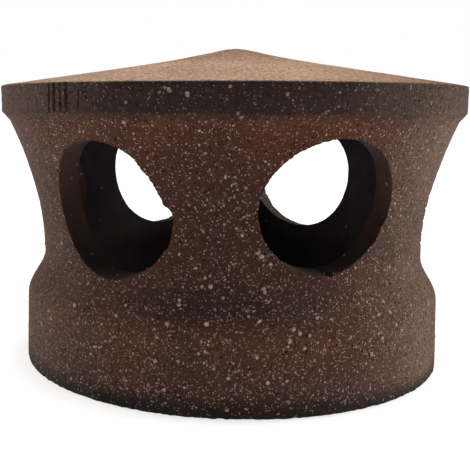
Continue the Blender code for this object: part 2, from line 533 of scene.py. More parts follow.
def makeBareClay(name):
    look, shared = innerLooks[name], innerLooks
    finish, tree, shader, place = newFinish(name, shared["roughness"], shared["specular"])
    body = mixTones(tree, clouded(tree, place, "inside"), (*look["tone"], 1), (*look["dark"], 1))
    height = useGroup(tree, turnedPlace, {"Place": place, "Tilt": tiltSlope})["Height"]
    # painted shade: the inside and the cut vent walls are darker lower down, deeper in the lantern
    depthShade = ease(tree, height, shared["depthShadeBottom"], shared["depthShadeTop"], shared["depthShade"], 1.0)
    body = mixTones(tree, 1.0, body, depthShade, "MULTIPLY")
    grog = flecked(tree, place, "cutGrog", look["grog"])["Mask"]
    body = mixTones(tree, times(tree, grog, 0.7), body, (*clayLooks["cream"], 1))
    tree.links.new(body, shader.inputs["Base Color"])
    tooth = useGroup(tree, sandTooth, {"Place": place, "Grain": shared["toothGrain"], "Roughness": 0.7})
    roughened(tree, shader, tooth["Height"], look["tooth"], 1.0)
    return finish


# The grains that stand out of the clay
grainLooks = {
    "chalk": (0.36, 0.27, 0.235),
    "chalkDark": (0.24, 0.165, 0.135),
    "dirt": (0.10, 0.06, 0.045),
    "dirtShare": 0.35,
    "smoked": (0.055, 0.038, 0.032),
    "smokedShare": 0.62,     # on the rim band, which smoke greyed
    "roughness": 0.7,
    "specular": 0.4,
    "toothGrain": 0.0004,
    "toothHeight": 0.0001,
}


def makeGrogGrain():
    look = grainLooks
    finish, tree, shader, place = newFinish("grogGrain", look["roughness"], look["specular"])
    chalk = mixTones(tree, clouded(tree, place, "grain"), (*look["chalk"], 1), (*look["chalkDark"], 1))
    dirt = flecked(tree, place, "dirt", look["dirtShare"])["Mask"]
    chalk = mixTones(tree, times(tree, dirt, look["dirtShare"]), chalk, (*look["dirt"], 1))
    height = useGroup(tree, turnedPlace, {"Place": place, "Tilt": tiltSlope})["Height"]
    smoked = ease(tree, height, flareTop, rimBottom, 0.0, look["smokedShare"])
    chalk = mixTones(tree, smoked, chalk, (*look["smoked"], 1))
    tree.links.new(chalk, shader.inputs["Base Color"])
    tooth = useGroup(tree, sandTooth, {"Place": place, "Grain": look["toothGrain"], "Roughness": 0.6})
    roughened(tree, shader, tooth["Height"], look["toothHeight"], 0.8)
    return finish


outerClay = makeOuterClay()
cutClay = makeBareClay("cutClay")
innerClay = makeBareClay("innerClay")
grogGrain = makeGrogGrain()
print("finishes made")


# Turns an outline (radius, height) once round the axis, roughens it and lets it settle
def makeTurnedClay():
    tree, given, result = newTree("turnedClay", "GeometryNodeTree", {
        "Outline": ("Geometry", None),
        "Steps Around": ("Int", 96),
        "Outside Points": ("Int", 10),
        "Lump Depth": ("Float", 0.0003),
        "Lump Size": ("Float", 0.03),
        "Tooth Depth": ("Float", 0.0001),
        "Tooth Size": ("Float", 0.004),
        "Turning Depth": ("Float", 0.00005),
        "Turning Spacing": ("Float", 0.002),
        "Ring Drift": ("Float", 10.0),
        "Foot Crumble": ("Float", 0.0005),
        "Crumbs Per Metre": ("Float", 400.0),
        "Crumble Top": ("Float", 0.003),
        "Lean": ("Float", 0.0),
        "Tilt": ("Float", 0.0),
        "Foot Offset": ("Float", 0.0),
        "Seed": ("Float", 0.0),
        "Outside Clay": ("Material", None),
        "Inside Clay": ("Material", None),
    }, {"Turned": "Geometry"})
    tree.is_modifier = True
    size = put(tree, "GeometryNodeAttributeDomainSize", {0: given["Outline"]}).outputs["Point Count"]
    rows = put(tree, "FunctionNodeIntegerMath", {0: given["Steps Around"], 1: 1}, operation="ADD")
    grid = put(tree, "GeometryNodeMeshGrid", {"Vertices X": rows.outputs[0], "Vertices Y": size})
    index = put(tree, "GeometryNodeInputIndex").outputs[0]
    along = put(tree, "FunctionNodeIntegerMath", {0: index, 1: size}, operation="MODULO").outputs[0]
    around = put(tree, "FunctionNodeIntegerMath", {0: index, 1: size}, operation="DIVIDE_FLOOR").outputs[0]
    kept = tree.nodes.new("GeometryNodeCaptureAttribute")
    kept.domain = "POINT"
    kept.capture_items.new("FLOAT", "along")
    tree.links.new(grid.outputs["Mesh"], kept.inputs["Geometry"])
    tree.links.new(along, kept.inputs["along"])
    spot = put(tree, "GeometryNodeInputPosition").outputs[0]
    sample = put(tree, "GeometryNodeSampleIndex", {"Geometry": given["Outline"], "Index": along},
                 data_type="FLOAT_VECTOR", domain="POINT")
    tree.links.new(spot, sample.inputs["Value"])
    outline = put(tree, "ShaderNodeSeparateXYZ", {0: sample.outputs[0]}).outputs
    turn = times(tree, reckon(tree, "DIVIDE", around, given["Steps Around"]), 2 * math.pi)
    forward = times(tree, reckon(tree, "COSINE", turn), -1.0)
    ring = put(tree, "ShaderNodeCombineXYZ", {
        0: times(tree, outline[0], reckon(tree, "SINE", turn)),
        1: times(tree, outline[0], forward),
        2: outline[2]}).outputs[0]
    turned = put(tree, "GeometryNodeSetPosition", {"Geometry": kept.outputs["Geometry"], "Position": ring})
    # a face lies inside when hardly any of its corners belongs to the outside
    lastOutside = reckon(tree, "SUBTRACT", given["Outside Points"], 0.75)
    isInside = reckon(tree, "GREATER_THAN", kept.outputs["along"], lastOutside)
    sides = tree.nodes.new("GeometryNodeCaptureAttribute")
    sides.domain = "FACE"
    sides.capture_items.new("BOOLEAN", "inside")
    tree.links.new(turned.outputs[0], sides.inputs["Geometry"])
    tree.links.new(isInside, sides.inputs["inside"])
    closed = put(tree, "GeometryNodeMergeByDistance", {
        "Geometry": sides.outputs["Geometry"], "Distance": 0.000002}).outputs[0]
    # everything wears inwards, so nothing grows past the true form
    place = put(tree, "GeometryNodeInputPosition").outputs[0]
    height = put(tree, "ShaderNodeSeparateXYZ", {0: place}).outputs[2]
    lumps = put(tree, "ShaderNodeTexNoise", {
        "Vector": place, "W": given["Seed"], "Detail": 2.0,
        "Scale": reckon(tree, "DIVIDE", 1.0, given["Lump Size"])}, noise_dimensions="4D").outputs[0]
    teeth = put(tree, "ShaderNodeTexNoise", {
        "Vector": place, "W": given["Seed"], "Detail": 3.0, "Roughness": 0.7,
        "Scale": reckon(tree, "DIVIDE", 1.0, given["Tooth Size"])}, noise_dimensions="4D").outputs[0]
    phase = times(tree, reckon(tree, "DIVIDE", height, given["Turning Spacing"]), 2 * math.pi)
    phase = plus(tree, phase, times(tree, lumps, given["Ring Drift"]))
    rings = reckon(tree, "MULTIPLY_ADD", reckon(tree, "SINE", phase), 0.5, 0.5)
    crumbs = put(tree, "ShaderNodeTexNoise", {
        "Vector": place, "W": given["Seed"], "Detail": 4.0, "Roughness": 0.8,
        "Scale": given["Crumbs Per Metre"]}, noise_dimensions="4D").outputs[0]
    atFoot = times(tree, ease(tree, height, given["Crumble Top"], 0.0006), given["Foot Crumble"])
    wear = times(tree, ease(tree, crumbs, 0.42, 0.62), atFoot)
    wear = plus(tree, wear, times(tree, lumps, given["Lump Depth"]))
    wear = plus(tree, wear, times(tree, ease(tree, teeth, 0.35, 0.75), given["Tooth Depth"]))
    wear = plus(tree, wear, times(tree, rings, given["Turning Depth"]))
    normal = put(tree, "GeometryNodeInputNormal").outputs[0]
    inward = put(tree, "ShaderNodeVectorMath", {0: normal, "Scale": times(tree, wear, -1.0)},
                 operation="SCALE").outputs[0]
    worn = put(tree, "GeometryNodeSetPosition", {"Geometry": closed, "Offset": inward}).outputs[0]
    wornPlace = put(tree, "GeometryNodeInputPosition").outputs[0]
    spotNow = put(tree, "ShaderNodeSeparateXYZ", {0: wornPlace}).outputs
    lift = reckon(tree, "MULTIPLY_ADD", spotNow[0], given["Tilt"], 1.0)
    newHeight = times(tree, spotNow[2], lift)
    newX = reckon(tree, "SUBTRACT", plus(tree, spotNow[0], given["Foot Offset"]),
                  times(tree, newHeight, given["Lean"]))
    dried = put(tree, "ShaderNodeCombineXYZ", {0: newX, 1: spotNow[1], 2: newHeight}).outputs[0]
    leaned = put(tree, "GeometryNodeSetPosition", {"Geometry": worn, "Position": dried}).outputs[0]
    smooth = put(tree, "GeometryNodeSetShadeSmooth", {0: leaned}).outputs[0]
    real = put(tree, "GeometryNodeRealizeInstances", {0: smooth}).outputs[0]
    clad = put(tree, "GeometryNodeSetMaterial", {"Geometry": real, "Material": given["Outside Clay"]})
    clad = put(tree, "GeometryNodeSetMaterial", {
        "Geometry": clad.outputs[0], "Selection": sides.outputs["inside"],
        "Material": given["Inside Clay"]})
    tree.links.new(clad.outputs[0], result["Turned"])
    return tree


def setInputs(modifier, tree, values):
    for item in tree.interface.items_tree:
        if item.item_type == "SOCKET" and item.in_out == "INPUT" and item.name in values:
            modifier[item.identifier] = values[item.name]


def asPlainMesh(piece, name):
    bpy.context.view_layer.update()
    depsgraph = bpy.context.evaluated_depsgraph_get()
    mesh = bpy.data.meshes.new_from_object(piece.evaluated_get(depsgraph), preserve_all_data_layers=True,
                                           depsgraph=depsgraph)
    mesh.name = name
    return mesh


def newPiece(name, mesh):
    piece = bpy.data.objects.new(name, mesh)
    bpy.context.collection.objects.link(piece)
    return piece


outsidePoints, insidePoints = lanternOutline()
closedOutline = outsidePoints + insidePoints + outsidePoints[:1]
outlineMesh = bpy.data.meshes.new("ventLantern")
outlineMesh.from_pydata([(r, 0, z) for r, z in closedOutline], [], [])
ventLantern = newPiece("ventLantern", outlineMesh)
turnedTree = makeTurnedClay()
turning = ventLantern.modifiers.new("turnedClay", "NODES")
turning.node_group = turnedTree
setInputs(turning, turnedTree, {
    "Steps Around": lanternSizes["stepsAround"],
    "Outside Points": len(outsidePoints),
    "Lump Depth": lanternSizes["lumpDepth"],
    "Lump Size": lanternSizes["lumpSize"],
    "Tooth Depth": lanternSizes["toothDepth"],
    "Tooth Size": lanternSizes["toothSize"],
    "Turning Depth": lanternSizes["turningDepth"],
    "Turning Spacing": lanternSizes["turningSpacing"],
    "Ring Drift": lanternSizes["ringDrift"],
    "Foot Crumble": lanternSizes["footCrumble"],
    "Crumbs Per Metre": lanternSizes["crumbsPerMetre"],
    "Crumble Top": lanternSizes["crumbleTop"],
    "Lean": leanSlope,
    "Tilt": tiltSlope,
    "Foot Offset": footOffset,
    "Seed": lanternSizes["seed"],
    "Outside Clay": outerClay,
    "Inside Clay": innerClay,
})
turnedMesh = asPlainMesh(ventLantern, "ventLantern")
ventLantern.modifiers.remove(turning)
ventLantern.data = turnedMesh
print("clay turned:", len(turnedMesh.polygons), "faces")

# Vents, cut by hand through the wall. A cut is its azimuth from the front towards +X in
# degrees, then how much higher, wider and taller it came out, its tears and its scores.
# Tears are (angle on the vent's edge counted from its right, half width, extra radius).
# Scores are (angle, half width, depth in the wall, half length, extra radius).
ventSizes = {
    "diameter": 0.0510,
    "rise": 0.0250,
    "droop": 6.6,            # degrees
    "edge": 0.0006,
    "overrun": 0.010,
    "lipStep": 0.0012,
    "wallStops": (0.22, 0.34, 0.41, 0.46, 0.52, 0.6, 0.72, 0.85),
    "roughness": 0.00030,
    "dragMarks": 0.00022,
    "crumbs": 0.00075,
    "tearReach": 0.007,      # how deep into the wall the tears fade out, then the others
    "roughReach": 0.004,
    "crumbReach": 0.0008,
    "steps": 216,
    "cuts": {
        "frontLeft": (-33.2, -0.0013, -0.0006, 0.0003,
                      [(-12, 17.5, 0.0015), (-38, 12, 0.0007), (27, 20, -0.0017), (8.5, 2.5, -0.0006)],
                      [(-128, 3, 0.003, 0.002, 0.0005)]),
        "frontRight": (23.6, 0.0025, 0.0023, -0.0010,
                       [(-44, 30, -0.0013), (-33, 4, 0.0006), (-12, 4, 0.0005), (-22, 3, -0.0004)],
                       [(-86, 1.6, 0.0052, 0.0046, 0.0008), (-12, 13, 0.0050, 0.0006, 0.0008)]),
        "right": (87.5, -0.0026, 0.0010, -0.0002, [(160, 18, 0.0005), (215, 14, 0.0006)], []),
        "backRight": (151.9, 0.0006, 0.0009, -0.0004,
                      [(20, 12, 0.0005)], [(170, 2, 0.004, 0.003, 0.0006)]),
        "backLeft": (212.5, 0.0005, 0.0009, -0.0004, [(-60, 16, -0.0005)], []),
        "left": (270.5, -0.0001, 0.0005, -0.0002,
                 [(75, 12, 0.0006)], [(-95, 2, 0.003, 0.004, 0.0007)]),
    },
    "edgeChips": 15,
    "chipSize": (0.0004, 0.0012),
}
ventEdges = {}


def fading(depth, reach):
    return math.exp(-max(depth, 0) / reach)


# How far the blade strays outwards at an angle of the vent and a depth in the wall
def bladeStray(angle, deep, fromInside, tears, scores, seed):
    s = ventSizes
    edge, lip = s["edge"], -s["lipStep"]
    growth = edge * 0.7 * max(1 - max(deep, lip) / edge, 0) ** 1.6 * 0.5
    growth += edge * 0.35 * max(1 - max(fromInside, lip) / edge, 0) ** 1.6
    for centre, halfWidth, extra in tears:
        away = (math.degrees(angle) - centre + 180) % 360 - 180
        steep = 10 if halfWidth < 18 else 4
        growth += extra * fading(deep, s["tearReach"]) * math.exp(-(away / halfWidth) ** steep)
    for centre, halfWidth, middle, halfLength, extra in scores:
        away = (math.degrees(angle) - centre + 180) % 360 - 180
        growth += extra * math.exp(-(away / halfWidth) ** 4 - ((deep - middle) / halfLength) ** 4)
    x, y = math.cos(angle), math.sin(angle)
    lump = Vector((x * 5 + seed * 7, y * 5, deep * 190))
    drag = Vector((x * 26, y * 26 + seed * 3, deep * 26))
    crumb = Vector((x * 34, y * 34, seed * 5 + deep * 300))
    calm = 0.35 + 0.65 * fading(deep, s["roughReach"])
    growth += s["roughness"] * calm * noise.fractal(lump, 1.0, 2.0, 4)
    growth += s["dragMarks"] * calm * noise.noise(drag)
    growth += s["crumbs"] * fading(deep, s["crumbReach"]) * max(noise.noise(crumb), -0.1)
    return growth


def ventBlade(form, cut, seed):
    azimuth, higher, wider, taller, tears, scores = cut
    turned, droop = math.radians(azimuth), math.radians(ventSizes["droop"])
    outward = Vector((math.sin(turned), -math.cos(turned), 0))
    across = Vector((math.cos(turned), math.sin(turned), 0))
    along = outward * math.cos(droop) - Vector((0, 0, math.sin(droop)))
    upward = outward * math.sin(droop) + Vector((0, 0, math.cos(droop)))
    height = neckHeight + ventSizes["rise"] + higher
    heart = Vector((footOffset, 0, height)) + outward * outsideRadius(height)
    halfWide = (ventSizes["diameter"] + wider) / 2
    halfTall = (ventSizes["diameter"] + taller) / 2

    # how far out along the blade a depth in the clay is reached
    def crossing(side, depth):
        near, far = -0.045, 0.030
        for _ in range(40):
            middle = (near + far) / 2
            if depthInClay(heart + side + along * middle) > depth:
                near = middle
            else:
                far = middle
        return near

    edge, overrun, lipStep = ventSizes["edge"], ventSizes["overrun"], ventSizes["lipStep"]
    rings, lip = [], []
    for step in range(ventSizes["steps"]):
        angle = 2 * math.pi * step / ventSizes["steps"]
        side = across * halfWide * math.cos(angle) + upward * halfTall * math.sin(angle)
        reach = side.normalized()
        outer = crossing(side, 0)
        inner = crossing(side, lanternSizes["wall"])
        stops = [outer + overrun * 0.9, outer + lipStep, outer]
        stops += [outer - edge * 0.4, outer - edge, outer - edge * 2]
        stops += [outer + (inner - outer) * share for share in ventSizes["wallStops"]]
        stops += [inner + edge * 1.2, inner + edge * 0.5, inner, inner - lipStep, inner - overrun]
        column = []
        for stop in stops:
            growth = bladeStray(angle, outer - stop, stop - inner, tears, scores, seed)
            column.append(form.verts.new(heart + side + reach * growth + along * stop))
        rings.append(column)
        lip.append((heart + side + along * outer, azimuth))
    count = len(rings)
    for step, column in enumerate(rings):
        beside = rings[(step + 1) % count]
        for k in range(len(column) - 1):
            form.faces.new((column[k], beside[k], beside[k + 1], column[k + 1]))
    form.faces.new([column[0] for column in rings][::-1])
    form.faces.new([column[-1] for column in rings])
    return lip


def cutterPiece(name, form, finish):
    bmesh.ops.recalc_face_normals(form, faces=form.faces)
    for face in form.faces:
        face.smooth = True
    mesh = bpy.data.meshes.new(name)
    form.to_mesh(mesh)
    form.free()
    mesh.materials.append(finish)
    return newPiece(name, mesh)


bladeForm = bmesh.new()
for number, (name, cut) in enumerate(ventSizes["cuts"].items()):
    ventEdges[name] = ventBlade(bladeForm, cut, number + 1)
ventCutter = cutterPiece("ventCutter", bladeForm, cutClay)

# Marks of a tool: azimuth, top and bottom height, width and depth
toolMarks = {
    "gouges": [
        (-41.0, 0.1168, 0.1046, 0.0018, 0.0008), (-39.4, 0.1168, 0.1048, 0.0024, 0.0011),
        (-37.5, 0.1168, 0.1050, 0.0020, 0.0009), (-35.7, 0.1168, 0.1050, 0.0028, 0.0012),
        (-32.3, 0.1140, 0.1070, 0.0015, 0.0007),
    ],
    "collarScratch": (-37.3, 0.0381, 0.0330, 0.0010, 0.0007),
    "bandChip": (-30.6, 0.1128, 0.0036, 0.0007),    # azimuth, height, length and depth
    "pockPlace": (-35.2, 0.0318),                   # azimuth and height
    "pockSize": (0.0016, 0.0005, 0.0008),
    "pockTurn": -35,
    "clearance": 0.0012,
    "steps": 14,
    "seed": 11,
}


def rimPoint(azimuth, height, radius):
    turned = math.radians(azimuth)
    return settled(radius * math.sin(turned), -radius * math.cos(turned), height)


def gougeBlade(form, azimuth, top, bottom, width, depth, jitter):
    halfTurn = math.degrees(width / 2 / rimRadius)
    rows = []
    for step in range(toolMarks["steps"] + 1):
        share = step / toolMarks["steps"]
        height = top + (bottom - top) * share
        swell = min(1, (1 - share) * 4 + 0.12) * (0.8 + 0.4 * jitter.random())
        middle = azimuth + jitter.uniform(-0.10, 0.10)
        surface = outsideRadius(min(height, rimTop))
        clear = surface + toolMarks["clearance"]
        section = [(-1.1, clear), (-0.35, surface - depth * swell),
                   (0.35, surface - depth * swell * 0.9), (1.1, clear)]
        rows.append([form.verts.new(rimPoint(middle + halfTurn * side, height, radius))
                     for side, radius in section])
    for above, below in zip(rows, rows[1:]):
        for k in range(4):
            form.faces.new((above[k], above[(k + 1) % 4], below[(k + 1) % 4], below[k]))
    form.faces.new(rows[0][::-1])
    form.faces.new(rows[-1])


def chipStone(form, centre, size, flat, jitter):
    made = bmesh.ops.create_icosphere(form, subdivisions=2, radius=1.0)["verts"]
    shift = Vector([jitter.uniform(0, 50) for _ in range(3)])
    for vert in made:
        rough = 1 + 0.35 * noise.noise(vert.co * 1.7 + shift)
        vert.co = Vector((vert.co.x * size[0], vert.co.y * size[1], vert.co.z * size[2])) * rough
    turn = Matrix.Rotation(flat, 4, "Z")
    bmesh.ops.transform(form, matrix=Matrix.Translation(centre) @ turn, verts=made)


jitter = random.Random(toolMarks["seed"])
markForm = bmesh.new()
for mark in toolMarks["gouges"] + [toolMarks["collarScratch"]]:
    gougeBlade(markForm, *mark, jitter)
azimuth, height, length, depth = toolMarks["bandChip"]
chipStone(markForm, rimPoint(azimuth, height, rimRadius), (length / 2, depth, depth * 0.8),
          math.radians(azimuth), jitter)
azimuth, height = toolMarks["pockPlace"]
chipStone(markForm, rimPoint(azimuth, height, outsideRadius(height)), toolMarks["pockSize"],
          math.radians(toolMarks["pockTurn"]), jitter)

# Crumbs broken off the foot's lower edge
footChips = {
    "count": 76,
    "smallest": 0.0004,
    "largest": 0.0014,
    "lowest": -0.0002,
    "highest": 0.0008,
    "seed": 5,
}
jitter = random.Random(footChips["seed"])
for number in range(footChips["count"]):
    azimuth = 360 * (number + jitter.uniform(-0.3, 0.3)) / footChips["count"]
    size = footChips["smallest"] + (footChips["largest"] - footChips["smallest"]) * jitter.random() ** 2
    turned = math.radians(azimuth)
    reach = lanternSizes["footRadius"] - lanternSizes["footRound"] * 0.2
    rise = jitter.uniform(footChips["lowest"], footChips["highest"])
    centre = settled(reach * math.sin(turned), -reach * math.cos(turned), rise)
    chipStone(markForm, centre, (size * jitter.uniform(0.8, 1.5), size * 0.7, size * 0.8), turned, jitter)

# The right vent's front edge makes the ragged outline there: steps of the vent's edge
raggedEdge = {
    "first": 73,
    "last": 136,
    "every": 7,
    "margin": 6,
    "outward": 0.0004,
    "size": (0.0046, 0.0013, 0.0010),
    "turn": 73,              # degrees
}
# chips that overlap would spoil the cut, so they are spread evenly round each vent
smallest, largest = ventSizes["chipSize"]
skipped = (raggedEdge["first"] - raggedEdge["margin"], raggedEdge["last"] + raggedEdge["margin"])
for name, lip in ventEdges.items():
    for number in range(ventSizes["edgeChips"]):
        step = int((number + jitter.uniform(0.1, 0.5)) * len(lip) / ventSizes["edgeChips"])
        if name == "right" and skipped[0] < step < skipped[1]:
            continue
        edgePoint, azimuth = lip[step]
        size = smallest + (largest - smallest) * jitter.random() ** 2
        stone = (size * jitter.uniform(0.8, 1.4), size * 0.6, size * jitter.uniform(0.8, 1.4))
        chipStone(markForm, edgePoint, stone, math.radians(azimuth), jitter)
for step in range(raggedEdge["first"], raggedEdge["last"], raggedEdge["every"]):
    edgePoint, azimuth = ventEdges["right"][step]
    outward = Vector((edgePoint.x, edgePoint.y, 0)).normalized()
    size = jitter.uniform(0.7, 1.2)
    length, width, height = raggedEdge["size"]
    chipStone(markForm, edgePoint + outward * raggedEdge["outward"], (length, width * size, height * size),
              math.radians(raggedEdge["turn"]), jitter)
markCutter = cutterPiece("markCutter", markForm, outerClay)

for cutter in (ventCutter, markCutter):
    carving = ventLantern.modifiers.new(cutter.name, "BOOLEAN")
    carving.operation = "DIFFERENCE"
    carving.solver = "EXACT"
    carving.material_mode = "TRANSFER"
    carving.object = cutter
carvedMesh = asPlainMesh(ventLantern, "ventLantern")
ventLantern.modifiers.clear()
ventLantern.data = carvedMesh
for cutter in (ventCutter, markCutter):
    bpy.data.objects.remove(cutter)
print("vents and marks cut:", len(carvedMesh.polygons), "faces")


def keepInBox(form):
    for vert in form.verts:
        limits = zip(vert.co, cadBox[0], cadBox[1])
        vert.co = Vector([min(max(c, low), high) for c, low, high in limits])


def tidyMesh(mesh):
    merged = lanternSizes["mergeDistance"]
    form = bmesh.new()
    form.from_mesh(mesh)
    bmesh.ops.remove_doubles(form, verts=form.verts, dist=merged)
    bmesh.ops.dissolve_degenerate(form, dist=merged / 2, edges=form.edges)
    bmesh.ops.triangulate(form, faces=[face for face in form.faces if len(face.verts) > 4])
    # where a chip just touches a vent, four faces can meet in one tiny edge
    pinched = [edge for edge in form.edges if len(edge.link_faces) > 2]
    bmesh.ops.collapse(form, edges=pinched)
    bare = [edge for edge in form.edges if not edge.link_faces]
    bmesh.ops.delete(form, geom=bare, context="EDGES")
    loose = [vert for vert in form.verts if not vert.link_faces]
    bmesh.ops.delete(form, geom=loose, context="VERTS")
    bmesh.ops.recalc_face_normals(form, faces=form.faces)
    keepInBox(form)
    form.to_mesh(mesh)
    form.free()
    # the turning leaves an empty first slot that no face uses
    mesh.materials.pop(index=0)
    mesh.shade_smooth()
    mesh.set_sharp_from_angle(angle=math.radians(lanternSizes["sharpAngle"]))


tidyMesh(carvedMesh)
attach(ventLantern, "root")
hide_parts("vent_lantern")
print("clay body done")

# The coarsest grog, as grains set in the face of the clay
grogSizes = {
    "perSquareMetre": 9000.0,
    "smallest": 0.00035,
    "largest": 0.00095,
    "flatness": 0.55,
    "proud": 0.00010,
    "ventDistance": 0.0013,
    "cloudsPerMetre": 38.0,
    "seed": 7,
    # azimuth, height and half width of the grains that stand out most
    "standouts": [
        (-12.95, 0.1142, 0.0010), (-11.98, 0.1130, 0.0010), (-0.68, 0.1145, 0.0009),
        (10.19, 0.1121, 0.0009), (0.87, 0.1061, 0.0008), (-22.33, 0.1032, 0.0011),
        (-8.68, 0.0524, 0.0007), (-6.46, 0.0490, 0.0007), (-5.23, 0.0498, 0.0006),
        (-12.57, 0.0406, 0.0008), (-12.38, 0.0391, 0.0008), (-14.5, 0.0329, 0.0011),
        (-5.56, 0.0337, 0.0010), (-5.60, 0.0246, 0.0008), (-1.96, 0.0420, 0.0008),
        (-12.87, 0.0571, 0.0006), (14.32, 0.0322, 0.0010), (18.02, 0.0300, 0.0008),
        (13.30, 0.0283, 0.0010), (16.85, 0.0255, 0.0010), (28.63, 0.0278, 0.0011),
        (37.18, 0.0275, 0.0008), (38.60, 0.0257, 0.0010), (5.90, 0.0229, 0.0009),
        (43.75, 0.0293, 0.0009), (19.99, 0.0273, 0.0008), (33.31, 0.0510, 0.0009),
        (15.66, 0.0308, 0.0008),
    ],
}


def makeStrewnGrog():
    tree, given, result = newTree("strewnGrog", "GeometryNodeTree", {
        "Clay": ("Geometry", None),
        "Per Square Metre": ("Float", 1000.0),
        "Smallest": ("Float", 0.0004),
        "Largest": ("Float", 0.001),
        "Flatness": ("Float", 0.5),
        "Proud": ("Float", 0.0001),
        "Seed": ("Int", 1),
        "Vent Distance": ("Float", 0.0012),
        "Clouds Per Metre": ("Float", 40.0),
        "Outside Clay": ("Material", None),
        "Cut Clay": ("Material", None),
        "Grain": ("Material", None),
    }, {"Grains": "Geometry"})
    tree.is_modifier = True
    onOutside = put(tree, "GeometryNodeMaterialSelection", {"Material": given["Outside Clay"]}).outputs[0]
    place = put(tree, "GeometryNodeInputPosition").outputs[0]
    cloud = put(tree, "ShaderNodeTexNoise", {
        "Vector": place, "Scale": given["Clouds Per Metre"], "Detail": 2.0}).outputs[0]
    # thicker low down, though hardly any at the very foot
    height = put(tree, "ShaderNodeSeparateXYZ", {0: place}).outputs[2]
    low = ease(tree, height, 0.085, 0.025, 0.35, 1.0)
    low = times(tree, low, ease(tree, height, 0.003, 0.009, 0.1, 1.0))
    # hardly any on the brushed roof, whose edge stays smooth
    normal = put(tree, "GeometryNodeInputNormal").outputs[0]
    facing = put(tree, "ShaderNodeSeparateXYZ", {0: normal}).outputs[2]
    low = times(tree, low, ease(tree, facing, 0.6, 0.9, 1.0, 0.04))
    patchy = times(tree, ease(tree, cloud, 0.35, 0.65, 0.25, 1.0), low)
    strewn = put(tree, "GeometryNodeDistributePointsOnFaces", {
        "Mesh": given["Clay"], "Selection": onOutside, "Seed": given["Seed"],
        "Density": times(tree, given["Per Square Metre"], patchy)}, distribute_method="RANDOM")
    isCut = put(tree, "GeometryNodeMaterialSelection", {"Material": given["Cut Clay"]}).outputs[0]
    cutWalls = put(tree, "GeometryNodeSeparateGeometry", {"Geometry": given["Clay"], "Selection": isCut},
                   domain="FACE").outputs[0]
    toVent = put(tree, "GeometryNodeProximity", {0: cutWalls}, target_element="FACES").outputs["Distance"]
    kept = put(tree, "GeometryNodeDeleteGeometry", {
        "Geometry": strewn.outputs["Points"],
        "Selection": reckon(tree, "LESS_THAN", toVent, given["Vent Distance"])}, domain="POINT").outputs[0]
    bead = put(tree, "GeometryNodeMeshIcoSphere", {"Radius": 1.0, "Subdivisions": 1}).outputs["Mesh"]
    dents = put(tree, "ShaderNodeTexNoise", {"Vector": place, "Scale": 0.9, "Detail": 1.0})
    centred = bend(tree, "SUBTRACT", dents.outputs["Color"], (0.5, 0.5, 0.5))
    dented = bend(tree, "MULTIPLY", centred, (1.6, 1.6, 0.8))
    bead = put(tree, "GeometryNodeSetPosition", {"Geometry": bead, "Offset": dented}).outputs[0]
    skew = put(tree, "FunctionNodeRandomValue", {
        0: (0.75, 0.75, 0.9), 1: (1.3, 1.3, 1.1), "Seed": given["Seed"]},
               data_type="FLOAT_VECTOR").outputs[0]
    luck = put(tree, "FunctionNodeRandomValue", {2: 0.0, 3: 1.0, "Seed": 3}, data_type="FLOAT").outputs[1]
    # small grains are far more common than large ones
    half = stretch(tree, reckon(tree, "POWER", luck, 2.6), given["Smallest"], given["Largest"])
    thick = times(tree, half, given["Flatness"])
    spread = put(tree, "ShaderNodeCombineXYZ", {0: half, 1: half, 2: thick}).outputs[0]
    spin = put(tree, "FunctionNodeRandomValue", {2: 0.0, 3: 2 * math.pi, "Seed": 9},
               data_type="FLOAT").outputs[1]
    turn = put(tree, "FunctionNodeAxisAngleToRotation", {"Axis": (0, 0, 1), "Angle": spin}).outputs[0]
    spun = put(tree, "FunctionNodeRotateRotation", {0: strewn.outputs["Rotation"], 1: turn},
               rotation_space="LOCAL").outputs[0]
    grains = put(tree, "GeometryNodeInstanceOnPoints", {
        "Points": kept, "Instance": bead, "Rotation": spun,
        "Scale": bend(tree, "MULTIPLY", spread, skew)}).outputs[0]
    lowered = reckon(tree, "SUBTRACT", given["Proud"], thick)
    sink = put(tree, "ShaderNodeCombineXYZ", {2: lowered}).outputs[0]
    sunk = put(tree, "GeometryNodeTranslateInstances", {
        "Instances": grains, "Translation": sink, "Local Space": True}).outputs[0]
    smooth = put(tree, "GeometryNodeSetShadeSmooth", {0: sunk}).outputs[0]
    real = put(tree, "GeometryNodeRealizeInstances", {0: smooth}).outputs[0]
    clad = put(tree, "GeometryNodeSetMaterial", {"Geometry": real, "Material": given["Grain"]})
    tree.links.new(clad.outputs[0], result["Grains"])
    return tree


grogGrains = newPiece("grogGrains", carvedMesh.copy())
strewnTree = makeStrewnGrog()
strewing = grogGrains.modifiers.new("strewnGrog", "NODES")
strewing.node_group = strewnTree
setInputs(strewing, strewnTree, {
    "Per Square Metre": grogSizes["perSquareMetre"],
    "Smallest": grogSizes["smallest"],
    "Largest": grogSizes["largest"],
    "Flatness": grogSizes["flatness"],
    "Proud": grogSizes["proud"],
    "Seed": grogSizes["seed"],
    "Vent Distance": grogSizes["ventDistance"],
    "Clouds Per Metre": grogSizes["cloudsPerMetre"],
    "Outside Clay": outerClay,
    "Cut Clay": cutClay,
    "Grain": grogGrain,
})
strewnMesh = asPlainMesh(grogGrains, "grogGrains")
grogGrains.modifiers.remove(strewing)
strewnMesh.materials.clear()
strewnMesh.materials.append(grogGrain)
grainForm = bmesh.new()
grainForm.from_mesh(strewnMesh)
jitter = random.Random(grogSizes["seed"])
for azimuth, height, half in grogSizes["standouts"]:
    thick = half * grogSizes["flatness"]
    centre = rimPoint(azimuth, height, outsideRadius(height) - lanternSizes["lumpDepth"] / 2 - thick)
    stone = (half * jitter.uniform(0.8, 1.1), thick + grogSizes["proud"], half * jitter.uniform(0.9, 1.3))
    chipStone(grainForm, centre, stone, math.radians(azimuth), jitter)
keepInBox(grainForm)
bmesh.ops.recalc_face_normals(grainForm, faces=grainForm.faces)
